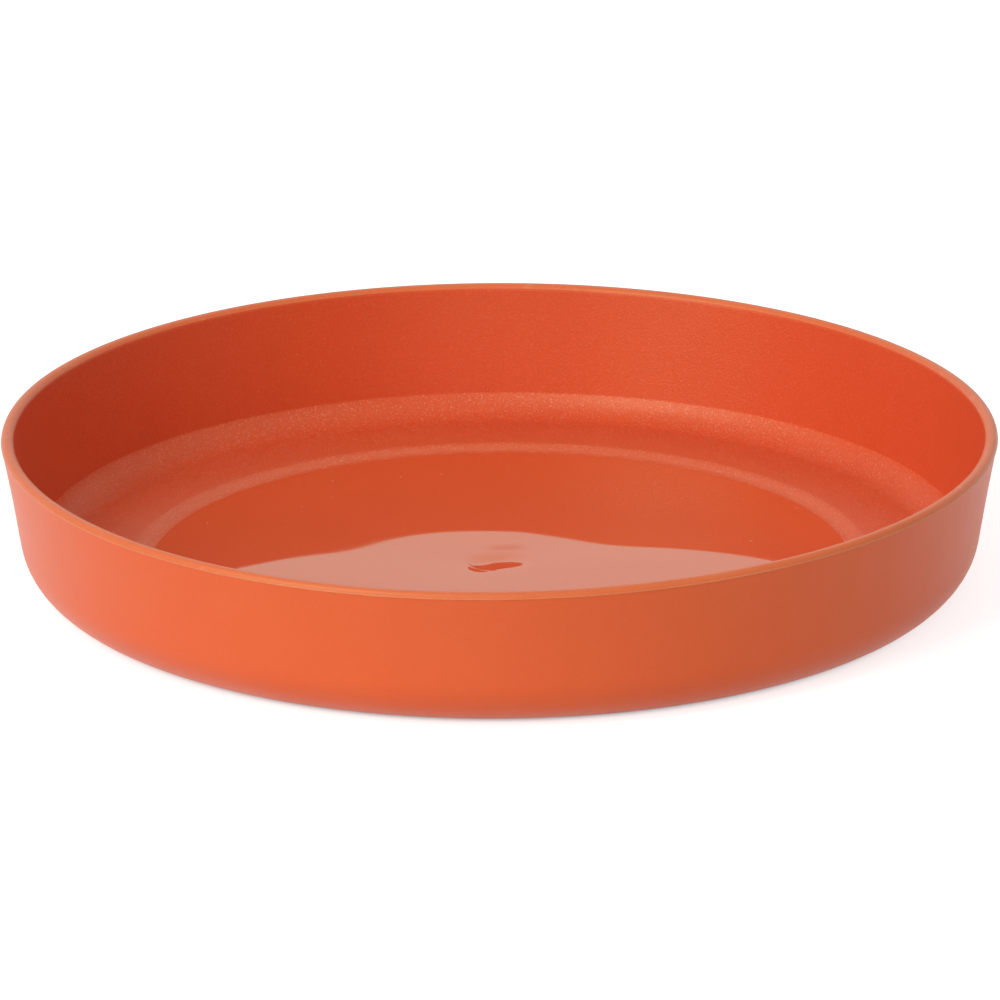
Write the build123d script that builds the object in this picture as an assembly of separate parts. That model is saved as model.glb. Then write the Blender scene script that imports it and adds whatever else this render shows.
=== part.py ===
from build123d import *

import math
import os

# Plant saucer: one moulding with a drafted wall, a slim round-topped lip at the rim, a ring
# ledge and a lower floor with a gate dimple. All lengths are in millimetres.
# The origin is on the resting plane at the centre, and +Z points up.

# Whole saucer
rim_diameter = 175.0
total_height = 27.0

# Outer wall
outer_draft = 9.35  # degrees from upright
base_corner_radius = 9.9
lip_overhang = 0.3  # how far the lip stands out from the wall
lip_height = 1.05  # from the parting line to the rim's top
lip_edge_radius = 0.05

# Rim and inner wall
rim_width = 2.15
rim_outer_radius = 0.8
rim_inner_radius = 1.2
inner_draft = 10.4  # degrees from upright

# Cove between the inner wall and the ledge
cove_height = 4.1  # from the ledge to the line where the wall breaks into the cove
cove_draft = 24.0  # degrees from upright, at that line
cove_radius = 5.8

# Ring ledge, its sloping shoulder and the step down to the floor
ledge_width = 11.8  # from the line of the cove to the shoulder
shoulder_width = 3.6
shoulder_height = 0.2
shoulder_radius = 60.0
step_height = 0.7
step_slope = 20.0  # degrees from level
step_edge_radius = 6.0
step_foot_radius = 3.5
floor_thickness = 2.05

# Gate dimple in the middle of the floor
dimple_diameter = 9.6
dimple_depth = 0.25
dimple_edge_radius = 12.0
gate_spot_diameter = 1.6

# Underside
foot_width = 26.4  # from the line of the outer wall to the recess
recess_depth = 0.5
recess_edge_radius = 0.4
foot_edge_radius = 0.3


def corners():
    """The section's corners from the axis outward and back, as (radius, height, rounding)."""
    rim_radius = rim_diameter / 2
    parting_height = total_height - lip_height
    lip_foot_radius = rim_radius - lip_overhang
    base_radius = lip_foot_radius - parting_height * math.tan(math.radians(outer_draft))
    recess_mouth = base_radius - foot_width
    step_top = floor_thickness + step_height
    ledge_top = step_top + shoulder_height
    cove_top = ledge_top + cove_height
    inner_top_radius = rim_radius - rim_width
    cove_top_radius = inner_top_radius - (total_height - cove_top) * math.tan(math.radians(inner_draft))
    cove_foot_radius = cove_top_radius - cove_height * math.tan(math.radians(cove_draft))
    shoulder_edge = cove_foot_radius - ledge_width
    step_edge = shoulder_edge - shoulder_width
    floor_radius = step_edge - step_height / math.tan(math.radians(step_slope))
    return [
        (0, recess_depth, 0),
        (recess_mouth - recess_depth, recess_depth, recess_edge_radius),
        (recess_mouth, 0, foot_edge_radius),
        (base_radius, 0, base_corner_radius),
        (lip_foot_radius, parting_height, 0),
        (rim_radius, parting_height, lip_edge_radius),
        (rim_radius, total_height, rim_outer_radius),
        (inner_top_radius, total_height, rim_inner_radius),
        (cove_top_radius, cove_top, 0),
        (cove_foot_radius, ledge_top, cove_radius),
        (shoulder_edge, ledge_top, shoulder_radius),
        (step_edge, step_top, step_edge_radius),
        (floor_radius, floor_thickness, step_foot_radius),
        (dimple_diameter / 2, floor_thickness, dimple_edge_radius),
        (gate_spot_diameter / 2, floor_thickness - dimple_depth, 0),
        (0, floor_thickness - dimple_depth, 0),
    ]


def make_saucer():
    """The section, with its corners rounded, turned about the upright axis."""
    outline = Polyline(*[(radius, height) for radius, height, _ in corners()], close=True)
    section = make_face(outline)
    for radius, height, rounding in corners():
        if rounding > 0:
            corner = section.vertices().sort_by_distance((radius, height))[0]
            section = fillet(corner, rounding)
    return revolve(Plane.XZ * section, axis=Axis.Z)


saucer = make_saucer()
saucer.label = "saucer"

os.makedirs("parts", exist_ok=True)
export_step(saucer, "parts/saucer.step")
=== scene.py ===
import math

import bpy
from mathutils import Euler, Matrix, Vector


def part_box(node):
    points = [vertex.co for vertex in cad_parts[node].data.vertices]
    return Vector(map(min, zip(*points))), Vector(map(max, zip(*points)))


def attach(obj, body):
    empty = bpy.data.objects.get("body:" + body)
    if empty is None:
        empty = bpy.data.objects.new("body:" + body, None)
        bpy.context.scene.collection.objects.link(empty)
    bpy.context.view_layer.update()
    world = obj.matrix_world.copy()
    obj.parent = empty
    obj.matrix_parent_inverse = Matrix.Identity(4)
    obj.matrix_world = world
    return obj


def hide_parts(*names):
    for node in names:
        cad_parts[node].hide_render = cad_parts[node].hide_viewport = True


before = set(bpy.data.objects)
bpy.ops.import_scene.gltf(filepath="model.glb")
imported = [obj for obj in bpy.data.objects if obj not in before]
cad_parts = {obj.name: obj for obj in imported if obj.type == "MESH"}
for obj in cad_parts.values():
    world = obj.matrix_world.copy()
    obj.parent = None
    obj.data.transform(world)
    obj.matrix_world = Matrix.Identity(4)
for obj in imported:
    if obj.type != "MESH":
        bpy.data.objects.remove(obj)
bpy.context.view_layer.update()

# Plant saucer: one moulding in terracotta-coloured plastic. The outside is satin, with a bead of flash
# along the parting line, painted pale as a highlight, and a scuffed lip and rim above it, whose paler
# tone is a painted highlight. Inside, the wall is drawn, the cove and ledge are grained, the step is
# shinier and painted paler as a highlight, and the floor is polished, with slight waves and a gate
# mark. All lengths are in metres, in the CAD frame.

low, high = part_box("saucer")

# Warp of the rim: waves in one turn, height, and where the first crest is
rim_warp = [
    (1, 0.00028, math.radians(-129)),
    (2, 0.00034, math.radians(-49)),
    (3, 0.00013, math.radians(-120)),
]

# Outer wall, which flares a little under the lip
rim_radius = (high.x - low.x) / 2
outer_draft = math.radians(9.53)
base_corner_radius = 0.0099
flare_depth = 0.008
flare_draft = math.radians(11.0)
flare_radius = 0.12
lip_overhang = 0.00012
lip_height = 0.0012
lip_foot_rounding = 0.00005
bead_radius = 0.00018  # bead of flash along the parting line
bead_end = math.radians(40)

# Rim and inner wall
rim_width = 0.00215
rim_outer_radius = 0.00095
rim_inner_radius = 0.0013
inner_draft = math.radians(10.6)

# Cove, from the line where the wall breaks
cove_height = 0.00385
cove_draft = math.radians(24.0)
cove_radius = 0.0061
cove_break_rounding = 0.0015

# Floor, step and the sloping shoulder of the ledge
floor_thickness = 0.00205
floor_radius = 0.0618
step_height = 0.0008
step_slope = math.radians(18.0)
step_edge_radius = 0.006
step_foot_radius = 0.005
shoulder_width = 0.0045
shoulder_height = 0.00025
shoulder_radius = 0.06

# Underside, with the gate's stub in the middle
recess_radius = 0.056
recess_depth = 0.0005
recess_edge_radius = 0.0004
foot_edge_radius = 0.0003
stub_radius = 0.0009
stub_height = 0.00025
stub_slope_width = 0.0003
stub_rounding = 0.00015

# Waves in the polished floor: middle x, middle y, spread and height
waves = [
    (-0.011, 0.0068, 0.012, -0.00012),
    (-0.044, -0.0132, 0.012, 0.00009),
    (-0.025, -0.0012, 0.007, 0.00006),
    (0.018, 0.0008, 0.007, 0.00005),
    (-0.004, 0.0288, 0.012, 0.00005),
    (0.026, -0.002, 0.012, 0.0001),
    (-0.0015, 0.0105, 0.0021, -0.00003),
    (0.0025, 0.011, 0.0021, -0.00003),
]
wave_fade = 0.006  # width of the border where they die down to the level foot of the step

# Gate mark: a dish, a sink beside it, and the witness ring of the mould's pin
dish_centre = (-0.0007, 0.0020)
dish_stretch = 1.48  # width over depth, seen from above
dish_radius = 0.0042
dish_slope = 0.078
dish_tip = 0.0009
dish_softness = 0.00068
sink_centre = (-0.0033, -0.00065)
sink_spread = (0.0017, 0.00205)
sink_depth = 0.000157
ring_centre = (-0.0003, 0.00175)
ring_radius = 0.0054
ring_width = 0.00016
ring_height = 0.000016
ring_span = (math.radians(165), math.radians(258))
ring_end = math.radians(5)

# Fineness of the mesh
turn_segments = 360
arc_step = math.radians(7.0)
long_step = 0.0024
support = 0.0001  # distance of the extra rings beside a rounding
floor_step = 0.0016
gate_step = 0.0003
ring_step = 0.00005
gate_zone = 0.0085
ring_zone = 0.00045

# Marks on the floor: middle, half width and half depth
blushes = [
    ((0.0008, 0.0085), 0.0065, 0.0045),
    ((0.0003, 0.0032), 0.0016, 0.001),
]
# painted highlight: a patch of the floor where the key light's scatter is painted paler
painted_highlight_patch = ((0.031, 0.040), 0.022, 0.022)
specks = [
    ((-0.0299, 0.0465), 0.0003, 0.0006),
    ((-0.0300, 0.0375), 0.0002, 0.0005),
    ((-0.0353, 0.0325), 0.0002, 0.0005),
    ((-0.0177, 0.0485), 0.0003, 0.0006),
    ((-0.0104, 0.0500), 0.0003, 0.0006),
    ((-0.0519, 0.0234), 0.0003, 0.0005),
    ((-0.0489, 0.0379), 0.0002, 0.0005),
    ((0.0528, 0.0296), 0.0006, 0.0004),
    ((0.0443, 0.0115), 0.0005, 0.0004),
]
mark_core = 0.2  # share of a mark's radius that is at full strength


def warp_at(turn):
    """Height of the rim's warp above its mean."""
    return sum(height * math.cos(count * turn - crest) for count, height, crest in rim_warp)


turns = [2 * math.pi * segment / turn_segments for segment in range(turn_segments)]
warps = [warp_at(turn) for turn in turns]
rim_height = high.z - max(warps)
parting_height = rim_height - lip_height
step_top = floor_thickness + step_height
ledge_top = step_top + shoulder_height
cove_top = ledge_top + cove_height


def arc(centre, radius, start, end):
    """Points from one angle to another, in steps of arc_step or a little less."""
    steps = max(2, math.ceil(abs(end - start) / arc_step))
    angles = [start + (end - start) * step / steps for step in range(steps + 1)]
    return [centre + radius * Vector((math.cos(angle), math.sin(angle))) for angle in angles]


def rounded(corners):
    """One arc for each corner, which is (radius, height, rounding). An unrounded one stays a point."""
    arcs = []
    for index, (radius, height, rounding) in enumerate(corners):
        corner = Vector((radius, height))
        if rounding == 0:
            arcs.append([corner])
            continue
        before = (Vector(corners[index - 1][:2]) - corner).normalized()
        after = (Vector(corners[index + 1][:2]) - corner).normalized()
        half = before.angle(after) / 2
        centre = corner + (before + after).normalized() * (rounding / math.sin(half))
        start = corner + before * (rounding / math.tan(half)) - centre
        first = math.atan2(start.y, start.x)
        turn = 1 if before.x * after.y < before.y * after.x else -1
        arcs.append(arc(centre, rounding, first, first + turn * (math.pi - 2 * half)))
    return arcs


def joined(arcs):
    """The arcs in one line, with points along the straight stretches between them."""
    points = list(arcs[0])
    for following in arcs[1:]:
        start = points[-1]
        end = following[0]
        length = (end - start).length
        if length > 4 * support:
            inset = support / length
            pieces = math.ceil(length / long_step)
            shares = [inset + (1 - 2 * inset) * piece / pieces for piece in range(pieces + 1)]
            points += [start.lerp(end, share) for share in shares]
        points += following
    return points


def moulding_section():
    """The section from the underside's middle, out over the rim and in to the foot of the step."""
    lip_foot_radius = rim_radius - lip_overhang
    flare_foot = parting_height - flare_depth
    flare_foot_radius = lip_foot_radius - flare_depth * math.tan(flare_draft)
    base_radius = flare_foot_radius - flare_foot * math.tan(outer_draft)
    stub_top = recess_depth - stub_height
    outside = [
        (0, stub_top, 0),
        (stub_radius, stub_top, stub_rounding),
        (stub_radius + stub_slope_width, recess_depth, stub_rounding),
        (recess_radius, recess_depth, recess_edge_radius),
        (recess_radius + recess_depth, 0, foot_edge_radius),
        (base_radius, 0, base_corner_radius),
        (flare_foot_radius, flare_foot, flare_radius),
        (lip_foot_radius, parting_height, lip_foot_rounding),
        (rim_radius - bead_radius, parting_height, 0),
    ]
    bead_centre = Vector((rim_radius - bead_radius, parting_height + bead_radius))
    bead = arc(bead_centre, bead_radius, -math.pi / 2, bead_end)
    lip_face = bead[-1].x
    cove_top_radius = rim_radius - rim_width - (rim_height - cove_top) * math.tan(inner_draft)
    floor_foot = floor_radius + step_foot_radius * math.tan(step_slope / 2)
    step_edge = floor_foot + step_height / math.tan(step_slope)
    inside = [
        (lip_face, bead[-1].y, 0),
        (lip_face, rim_height, rim_outer_radius),
        (rim_radius - rim_width, rim_height, rim_inner_radius),
        (cove_top_radius, cove_top, cove_break_rounding),
        (cove_top_radius - cove_height * math.tan(cove_draft), ledge_top, cove_radius),
        (step_edge + shoulder_width, ledge_top, shoulder_radius),
        (step_edge, step_top, step_edge_radius),
        (floor_foot, floor_thickness, step_foot_radius),
        (0, floor_thickness, 0),
    ]
    # The bead has the points where outside ends and inside starts, and the floor has its middle
    return joined(rounded(outside)[:-1] + [bead] + rounded(inside)[1:-1])


def finish_between(start, end):
    """The name of the finish on the band between two points of the section."""
    middle = (start + end) / 2
    on_rim = middle.x > rim_radius - rim_width
    if on_rim and middle.y > parting_height:
        return "worn_highlit" if middle.y > parting_height + 2 * bead_radius else "flash"
    if on_rim or start.x <= end.x:
        return "satin"
    if middle.y > cove_top:
        return "drawn"
    return "grained" if middle.y > step_top else "edge"


def floor_radii(start):
    """Rings on the floor from start inward, closest together at the witness ring."""
    radii = []
    radius = start - floor_step
    while radius > gate_step / 2:
        radii.append(radius)
        if radius > gate_zone:
            radius -= floor_step
        elif abs(radius - ring_radius) < ring_zone:
            radius -= ring_step
        else:
            radius -= gate_step
    return radii


def smooth(value):
    """0 to 1 with level ends."""
    value = min(1.0, max(0.0, value))
    return value * value * (3 - 2 * value)


def hill(x, y, spread_x, spread_y):
    """Bell-shaped hill with a height of 1 over the origin."""
    return math.exp(-(x * x) / (2 * spread_x * spread_x) - (y * y) / (2 * spread_y * spread_y))


def gate_relief(x, y):
    """Height of the gate mark above the floor, which is mostly below zero."""
    across = (x - dish_centre[0]) / dish_stretch
    along = y - dish_centre[1]
    reach = math.sqrt(across * across + along * along + dish_tip * dish_tip)
    inside = (dish_radius - reach) / dish_softness
    dish = -dish_slope * dish_softness * math.log1p(math.exp(inside))
    sink = -sink_depth * hill(x - sink_centre[0], y - sink_centre[1], *sink_spread)
    ring_x = x - ring_centre[0]
    ring_y = y - ring_centre[1]
    turn = math.atan2(ring_y, ring_x) % (2 * math.pi)
    shown = 1 / (1 + math.exp((ring_span[0] - turn) / ring_end))
    shown /= 1 + math.exp((turn - ring_span[1]) / ring_end)
    from_ring = (math.hypot(ring_x, ring_y) - ring_radius) / ring_width
    return dish + sink + ring_height * shown * math.exp(-from_ring * from_ring)


def floor_relief(x, y):
    """Height of the waves and the gate mark, level at the floor's border."""
    total = gate_relief(x, y)
    for middle_x, middle_y, spread, height in waves:
        total += height * hill(x - middle_x, y - middle_y, spread, spread)
    return total * smooth((floor_radius - math.hypot(x, y)) / wave_fade)


def saucer_vertices(section, radii):
    """Rings of vertices from the underside's middle to the floor's middle."""
    vertices = [(0, 0, section[0].y)]
    for point in section[1:]:
        lift = smooth((point.y - ledge_top) / (rim_height - ledge_top))
        for turn, warp in zip(turns, warps):
            height = max(0.0, point.y) + lift * warp
            vertices.append((point.x * math.cos(turn), point.x * math.sin(turn), height))
    for radius in radii:
        shift = 1 - smooth((radius - gate_zone) / gate_zone)
        for turn in turns:
            x = radius * math.cos(turn) + ring_centre[0] * shift
            y = radius * math.sin(turn) + ring_centre[1] * shift
            vertices.append((x, y, floor_thickness + floor_relief(x, y)))
    vertices.append((*ring_centre, floor_thickness + floor_relief(*ring_centre)))
    return vertices


def saucer_faces(rings):
    """For each segment of the turn, a triangle at both middles and quads between the rings."""
    faces = []
    last = 1 + (rings - 1) * turn_segments
    end = 1 + rings * turn_segments
    for segment in range(turn_segments):
        following = (segment + 1) % turn_segments
        faces.append((0, 1 + following, 1 + segment))
        for ring in range(rings - 1):
            inner = 1 + ring * turn_segments
            outer = inner + turn_segments
            faces.append((inner + segment, inner + following, outer + following, outer + segment))
        faces.append((last + segment, last + following, end))
    return faces


section = moulding_section()
radii = floor_radii(section[-1].x)
mesh = bpy.data.meshes.new("saucer_moulding")
mesh.from_pydata(saucer_vertices(section, radii), [], saucer_faces(len(section) - 1 + len(radii)))
mesh.update()
saucer = bpy.data.objects.new("saucer_moulding", mesh)
bpy.context.scene.collection.objects.link(saucer)


class Nodes:
    """A node tree, with short calls for the few kinds of node used here."""

    def __init__(self, tree):
        self.nodes = tree.nodes
        self.links = tree.links
        self.coordinates = self.nodes.new("ShaderNodeTexCoord").outputs

    def fill(self, socket, value):
        """Links value to the socket if it is an output, else sets it."""
        if isinstance(value, bpy.types.NodeSocket):
            self.links.new(value, socket)
        else:
            socket.default_value = value

    def noise(self, scale, detail, roughness):
        node = self.nodes.new("ShaderNodeTexNoise")
        self.links.new(self.coordinates["Object"], node.inputs["Vector"])
        node.inputs["Scale"].default_value = scale
        node.inputs["Detail"].default_value = detail
        node.inputs["Roughness"].default_value = roughness
        return node.outputs["Fac"]

    def combine(self, operation, first, second):
        """A sum, product or maximum of two numbers, as operation says."""
        node = self.nodes.new("ShaderNodeMath")
        node.operation = operation
        self.fill(node.inputs[0], first)
        self.fill(node.inputs[1], second)
        return node.outputs[0]

    def vector(self, operation, *operands):
        node = self.nodes.new("ShaderNodeVectorMath")
        node.operation = operation
        for socket, operand in zip(node.inputs, operands):
            self.fill(socket, operand)
        return node.outputs["Value" if operation == "LENGTH" else "Vector"]

    def remap(self, value, starts, ends, interpolation="LINEAR"):
        """Takes value from one pair of numbers to another, held at both ends."""
        node = self.nodes.new("ShaderNodeMapRange")
        node.interpolation_type = interpolation
        sockets = ("Value", "From Min", "From Max", "To Min", "To Max")
        for socket, content in zip(sockets, (value, *starts, *ends)):
            self.fill(node.inputs[socket], content)
        return node.outputs["Result"]

    def mix(self, share, first, second):
        """The first colour with a share of the second."""
        node = self.nodes.new("ShaderNodeMix")
        node.data_type = "RGBA"
        self.fill(node.inputs["Factor"], share)
        self.fill(node.inputs["A"], first)
        self.fill(node.inputs["B"], second)
        return node.outputs["Result"]

    def bump(self, height, distance):
        node = self.nodes.new("ShaderNodeBump")
        node.inputs["Distance"].default_value = distance
        self.links.new(height, node.inputs["Height"])
        return node.outputs["Normal"]

    def mark(self, centre, half_width, half_depth):
        """A soft oval mark on the floor: 1 in its middle and 0 outside."""
        from_centre = self.vector("SUBTRACT", self.coordinates["Object"], (*centre, 0))
        scaled = self.vector("MULTIPLY", from_centre, (1 / half_width, 1 / half_depth, 0))
        return self.remap(self.vector("LENGTH", scaled), (mark_core, 1), (1, 0))

    def marks(self, marks):
        total = self.mark(*marks[0])
        for mark in marks[1:]:
            total = self.combine("MAXIMUM", total, self.mark(*mark))
        return total

    def is_seen(self):
        """1 for rays from the camera and for those mirrored or let through on the way, else 0."""
        rays = self.nodes.new("ShaderNodeLightPath").outputs
        total = self.combine("MAXIMUM", rays["Is Camera Ray"], rays["Is Glossy Ray"])
        return self.combine("MAXIMUM", total, rays["Is Transmission Ray"])


def new_material(name):
    """A material, with the nodes of its tree and the inputs of its shader."""
    material = bpy.data.materials.new(name)
    material.use_nodes = True
    shader = material.node_tree.nodes["Principled BSDF"]
    return material, Nodes(material.node_tree), shader.inputs


# Noise in the plastic: scale, detail and roughness, and which of its values count
grain_texture = (2.0, 0.65)  # every finish has its own scale
# values of the grain that get a painted glint
painted_glint_tops = (0.55, 0.72)
drift_noise = (34, 3.0, 0.55)  # slow change of colour and gloss over the saucer
drift_tones = (0.35, 0.65)
drift_gloss = (0.3, 0.7)
scuff_noise = (160, 4.0, 0.7)
scuff_tops = (0.6, 0.72)

pale_for_wear_dust_and_glints = (0.9, 0.42, 0.26, 1)  # the plastic where it is scuffed or dusty, and the painted glints on its grain and painted sparkle on the floor
moulded_ior = 1.5
moulded_tint = (0.85, 1, 0.6, 1)  # tint of the light that the surface mirrors

# Polished floor under a faint, rough coat, with painted sparkle that is strongest in a painted
# highlight patch
polished_ior = 1.66
polished_tint = (0.8, 1, 0.3, 1)
polished_tones = ((0.8, 0.105, 0.03), (0.77, 0.099, 0.028))
polished_roughness = (0.02, 0.028)
coat_weight = 0.12
coat_roughness = 0.35
painted_sparkle_scale = 2600
painted_sparkle_tops = (0.6, 0.72)
painted_sparkle_paleness = (0.02, 0.4)
painted_sparkle_off_patch = 0.35  # share of the painted sparkle that shows away from the painted highlight patch too
dust_paleness = 0.45
dust_roughness = 0.25
blush_roughness = 0.11


def drifting(n, tones, roughness):
    """A colour and a roughness that drift over the saucer between two values each."""
    drift = n.noise(*drift_noise)
    tone = n.mix(n.remap(drift, drift_tones, (0, 1)), (*tones[0], 1), (*tones[1], 1))
    return tone, n.remap(drift, drift_gloss, roughness)


def moulded_finish(name, level, tones, grain_scale, grain_depth, painted_glint, roughness, scuffs=0):
    """Plastic with a moulded grain, whose tops are painted paler as glints, and paler where it is
    scuffed.
    """
    material, n, shader = new_material(name)
    shader["IOR"].default_value = moulded_ior
    shader["Specular IOR Level"].default_value = level
    shader["Specular Tint"].default_value = moulded_tint
    grain = n.noise(grain_scale, *grain_texture)
    tone, rough = drifting(n, tones, roughness)
    tone = n.mix(n.remap(grain, painted_glint_tops, (0, painted_glint)), tone, pale_for_wear_dust_and_glints)
    if scuffs > 0:
        tone = n.mix(n.remap(n.noise(*scuff_noise), scuff_tops, (0, scuffs)), tone, pale_for_wear_dust_and_glints)
    n.fill(shader["Base Color"], tone)
    n.fill(shader["Roughness"], rough)
    n.fill(shader["Normal"], n.bump(grain, grain_depth))
    return material


def polished_finish(name):
    """Polished plastic with a blush at the gate, painted sparkle that is strongest in a painted
    highlight patch, and specks of dust.
    """
    material, n, shader = new_material(name)
    shader["IOR"].default_value = polished_ior
    shader["Specular Tint"].default_value = polished_tint
    shader["Coat Weight"].default_value = coat_weight
    shader["Coat Roughness"].default_value = coat_roughness
    tone, rough = drifting(n, polished_tones, polished_roughness)
    blush = n.marks(blushes)
    dust = n.marks(specks)
    painted_sparkle = n.remap(n.noise(painted_sparkle_scale, *grain_texture), painted_sparkle_tops, painted_sparkle_paleness)
    painted_sparkle = n.combine("MULTIPLY", painted_sparkle, n.combine("ADD", n.mark(*painted_highlight_patch), painted_sparkle_off_patch))
    paleness = n.combine("MAXIMUM", painted_sparkle, n.combine("MULTIPLY", dust, dust_paleness))
    n.fill(shader["Base Color"], n.mix(paleness, tone, pale_for_wear_dust_and_glints))
    rough = n.combine("ADD", rough, n.combine("MULTIPLY", blush, blush_roughness))
    rough = n.combine("ADD", rough, n.combine("MULTIPLY", dust, dust_roughness))
    n.fill(shader["Roughness"], rough)
    return material


# All finishes are the one plastic; their tones differ by place, which is painted light and shade
finishes = {
    # Outer wall and underside, in a paler tone that is painted light
    "satin": moulded_finish(
        "satin_plastic",
        level=0.35,
        tones=((0.87, 0.136, 0.041), (0.85, 0.13, 0.039)),
        grain_scale=3600,
        grain_depth=0.00004,
        painted_glint=0.08,
        roughness=(0.38, 0.44),
    ),
    # Bead of flash along the parting line, painted pale as a highlight
    "flash": moulded_finish(
        "flash_plastic_painted_highlight",
        level=0.5,
        tones=((0.81, 0.21, 0.085), (0.79, 0.18, 0.065)),
        grain_scale=3200,
        grain_depth=0.00003,
        painted_glint=0.2,
        roughness=(0.3, 0.36),
    ),
    # Lip and rim, scuffed from handling, in a paler tone that is a painted highlight
    "worn_highlit": moulded_finish(
        "worn_plastic_painted_highlight",
        level=0.4,
        tones=((0.79, 0.165, 0.055), (0.77, 0.155, 0.05)),
        grain_scale=3200,
        grain_depth=0.00005,
        painted_glint=0.12,
        roughness=(0.36, 0.42),
        scuffs=0.25,
    ),
    # Inner wall, down which the moulding was drawn off the tool, in a darker tone that is painted
    # shade
    "drawn": moulded_finish(
        "drawn_plastic",
        level=0.4,
        tones=((0.7, 0.081, 0.023), (0.68, 0.076, 0.021)),
        grain_scale=3000,
        grain_depth=0.00006,
        painted_glint=0.12,
        roughness=(0.33, 0.38),
    ),
    # Cove and ledge: coarser spark-eroded grain
    "grained": moulded_finish(
        "grained_plastic",
        level=0.5,
        tones=((0.73, 0.091, 0.027), (0.71, 0.086, 0.025)),
        grain_scale=2700,
        grain_depth=0.0001,
        painted_glint=0.42,
        roughness=(0.33, 0.38),
    ),
    # Step: the ledge's grain, shinier towards the floor, with a paler tone and stronger glints that
    # are painted highlight
    "edge": moulded_finish(
        "edge_plastic_painted_highlight",
        level=0.65,
        tones=((0.76, 0.098, 0.026), (0.74, 0.093, 0.024)),
        grain_scale=2700,
        grain_depth=0.0001,
        painted_glint=0.6,
        roughness=(0.29, 0.35),
    ),
    "polished": polished_finish("polished_plastic"),
}
for material in finishes.values():
    mesh.materials.append(material)

# The faces are in segments of the turn, and each segment has all the bands in the same order
bands = ["satin"] + [finish_between(*ends) for ends in zip(section[1:], section[2:])]
bands += ["polished"] * (len(radii) + 1)
finish_order = list(finishes)
band_finishes = [finish_order.index(name) for name in bands]
for index, polygon in enumerate(mesh.polygons):
    polygon.use_smooth = True
    polygon.material_index = band_finishes[index % len(band_finishes)]

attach(saucer, "root")
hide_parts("saucer")


# World: the backdrop is white up to its top edge, and the ceiling above is dim
white = (1, 1, 1, 1)
world_strength = 0.32
ceiling_strength = 0.6
backdrop_top = (math.sin(math.radians(22)), math.sin(math.radians(45)))
world = bpy.data.worlds.new("studio")
bpy.context.scene.world = world
world.use_nodes = True
n = Nodes(world.node_tree)
background = n.nodes["Background"].inputs
background["Color"].default_value = white
direction = n.nodes.new("ShaderNodeSeparateXYZ")
n.fill(direction.inputs["Vector"], n.coordinates["Generated"])
mirrored = n.remap(direction.outputs["Z"], backdrop_top, (1.0, ceiling_strength), "SMOOTHSTEP")
n.fill(background["Strength"], n.remap(n.is_seen(), (0.0, 1.0), (world_strength, mirrored)))

# Studio floor, lifted to white where it is seen
ground_size = 6.0
ground_grey = 0.6
ground_roughness = 0.9
ground_lift = 0.74
ground_gap = (0.074, 0.079)  # the lift sets in between these radii, so that the base stays dark
bpy.ops.mesh.primitive_plane_add(size=ground_size)
ground = bpy.context.object
ground.name = "studio_floor"
material, n, shader = new_material("studio_floor")
shader["Base Color"].default_value = (ground_grey, ground_grey, ground_grey, 1)
shader["Roughness"].default_value = ground_roughness
shader["Emission Color"].default_value = white
reach = n.vector("LENGTH", n.coordinates["Object"])
lift = n.remap(reach, ground_gap, (0.0, ground_lift), "SMOOTHSTEP")
n.fill(shader["Emission Strength"], n.combine("MULTIPLY", n.is_seen(), lift))
ground.data.materials.append(material)

lamp_distance = 3.0


def lamp(name, azimuth, elevation, width, height, power):
    """A soft rectangular lamp that looks at the saucer. Azimuth 0 is in front, and 90 to the right."""
    data = bpy.data.lights.new(name, "AREA")
    data.shape = "RECTANGLE"
    data.size = width
    data.size_y = height
    data.energy = power
    light = bpy.data.objects.new(name, data)
    bpy.context.scene.collection.objects.link(light)
    across = math.radians(azimuth)
    up = math.radians(elevation)
    away = Vector((math.sin(across) * math.cos(up), -math.cos(across) * math.cos(up), math.sin(up)))
    light.location = away * lamp_distance
    light.rotation_euler = away.to_track_quat("Z", "Y").to_euler()


lamp("key", azimuth=-45, elevation=35, width=1.7, height=3.0, power=63)
lamp("front", azimuth=0, elevation=20, width=1.7, height=1.7, power=10)
lamp("right", azimuth=60, elevation=50, width=1.7, height=1.7, power=6)
lamp("back", azimuth=180, elevation=50, width=1.7, height=1.7, power=6)

# Camera, fitted to the rim in the square photograph, where the lengths are in pixels
picture_size = 1000.0
rim_centre_px = (499.8, 435.05)
rim_radius_px = 498.4
camera_elevation = math.radians(18.337)
camera_roll = -0.0067
camera_distance = 30 * rim_radius
rim_line_height = 0.0259
sensor_width = 36.0
view_depth = 20.0
data = bpy.data.cameras.new("camera")
camera = bpy.data.objects.new("camera", data)
bpy.context.scene.collection.objects.link(camera)
bpy.context.scene.camera = camera
focal_px = rim_radius_px * camera_distance / rim_radius
data.sensor_width = sensor_width
data.lens = focal_px / picture_size * sensor_width
data.clip_end = view_depth
towards = Vector((0, -math.cos(camera_elevation), math.sin(camera_elevation)))
camera.location = Vector((0, 0, rim_line_height)) + towards * camera_distance
pan = math.atan((rim_centre_px[0] - picture_size / 2) / focal_px)
tilt = math.atan((picture_size / 2 - rim_centre_px[1]) / focal_px)
aim = Euler((math.pi / 2 - camera_elevation - tilt, 0, pan)).to_matrix()
camera.rotation_euler = (aim @ Matrix.Rotation(camera_roll, 3, "Z")).to_euler()

bpy.context.scene.view_settings.view_transform = "Standard"
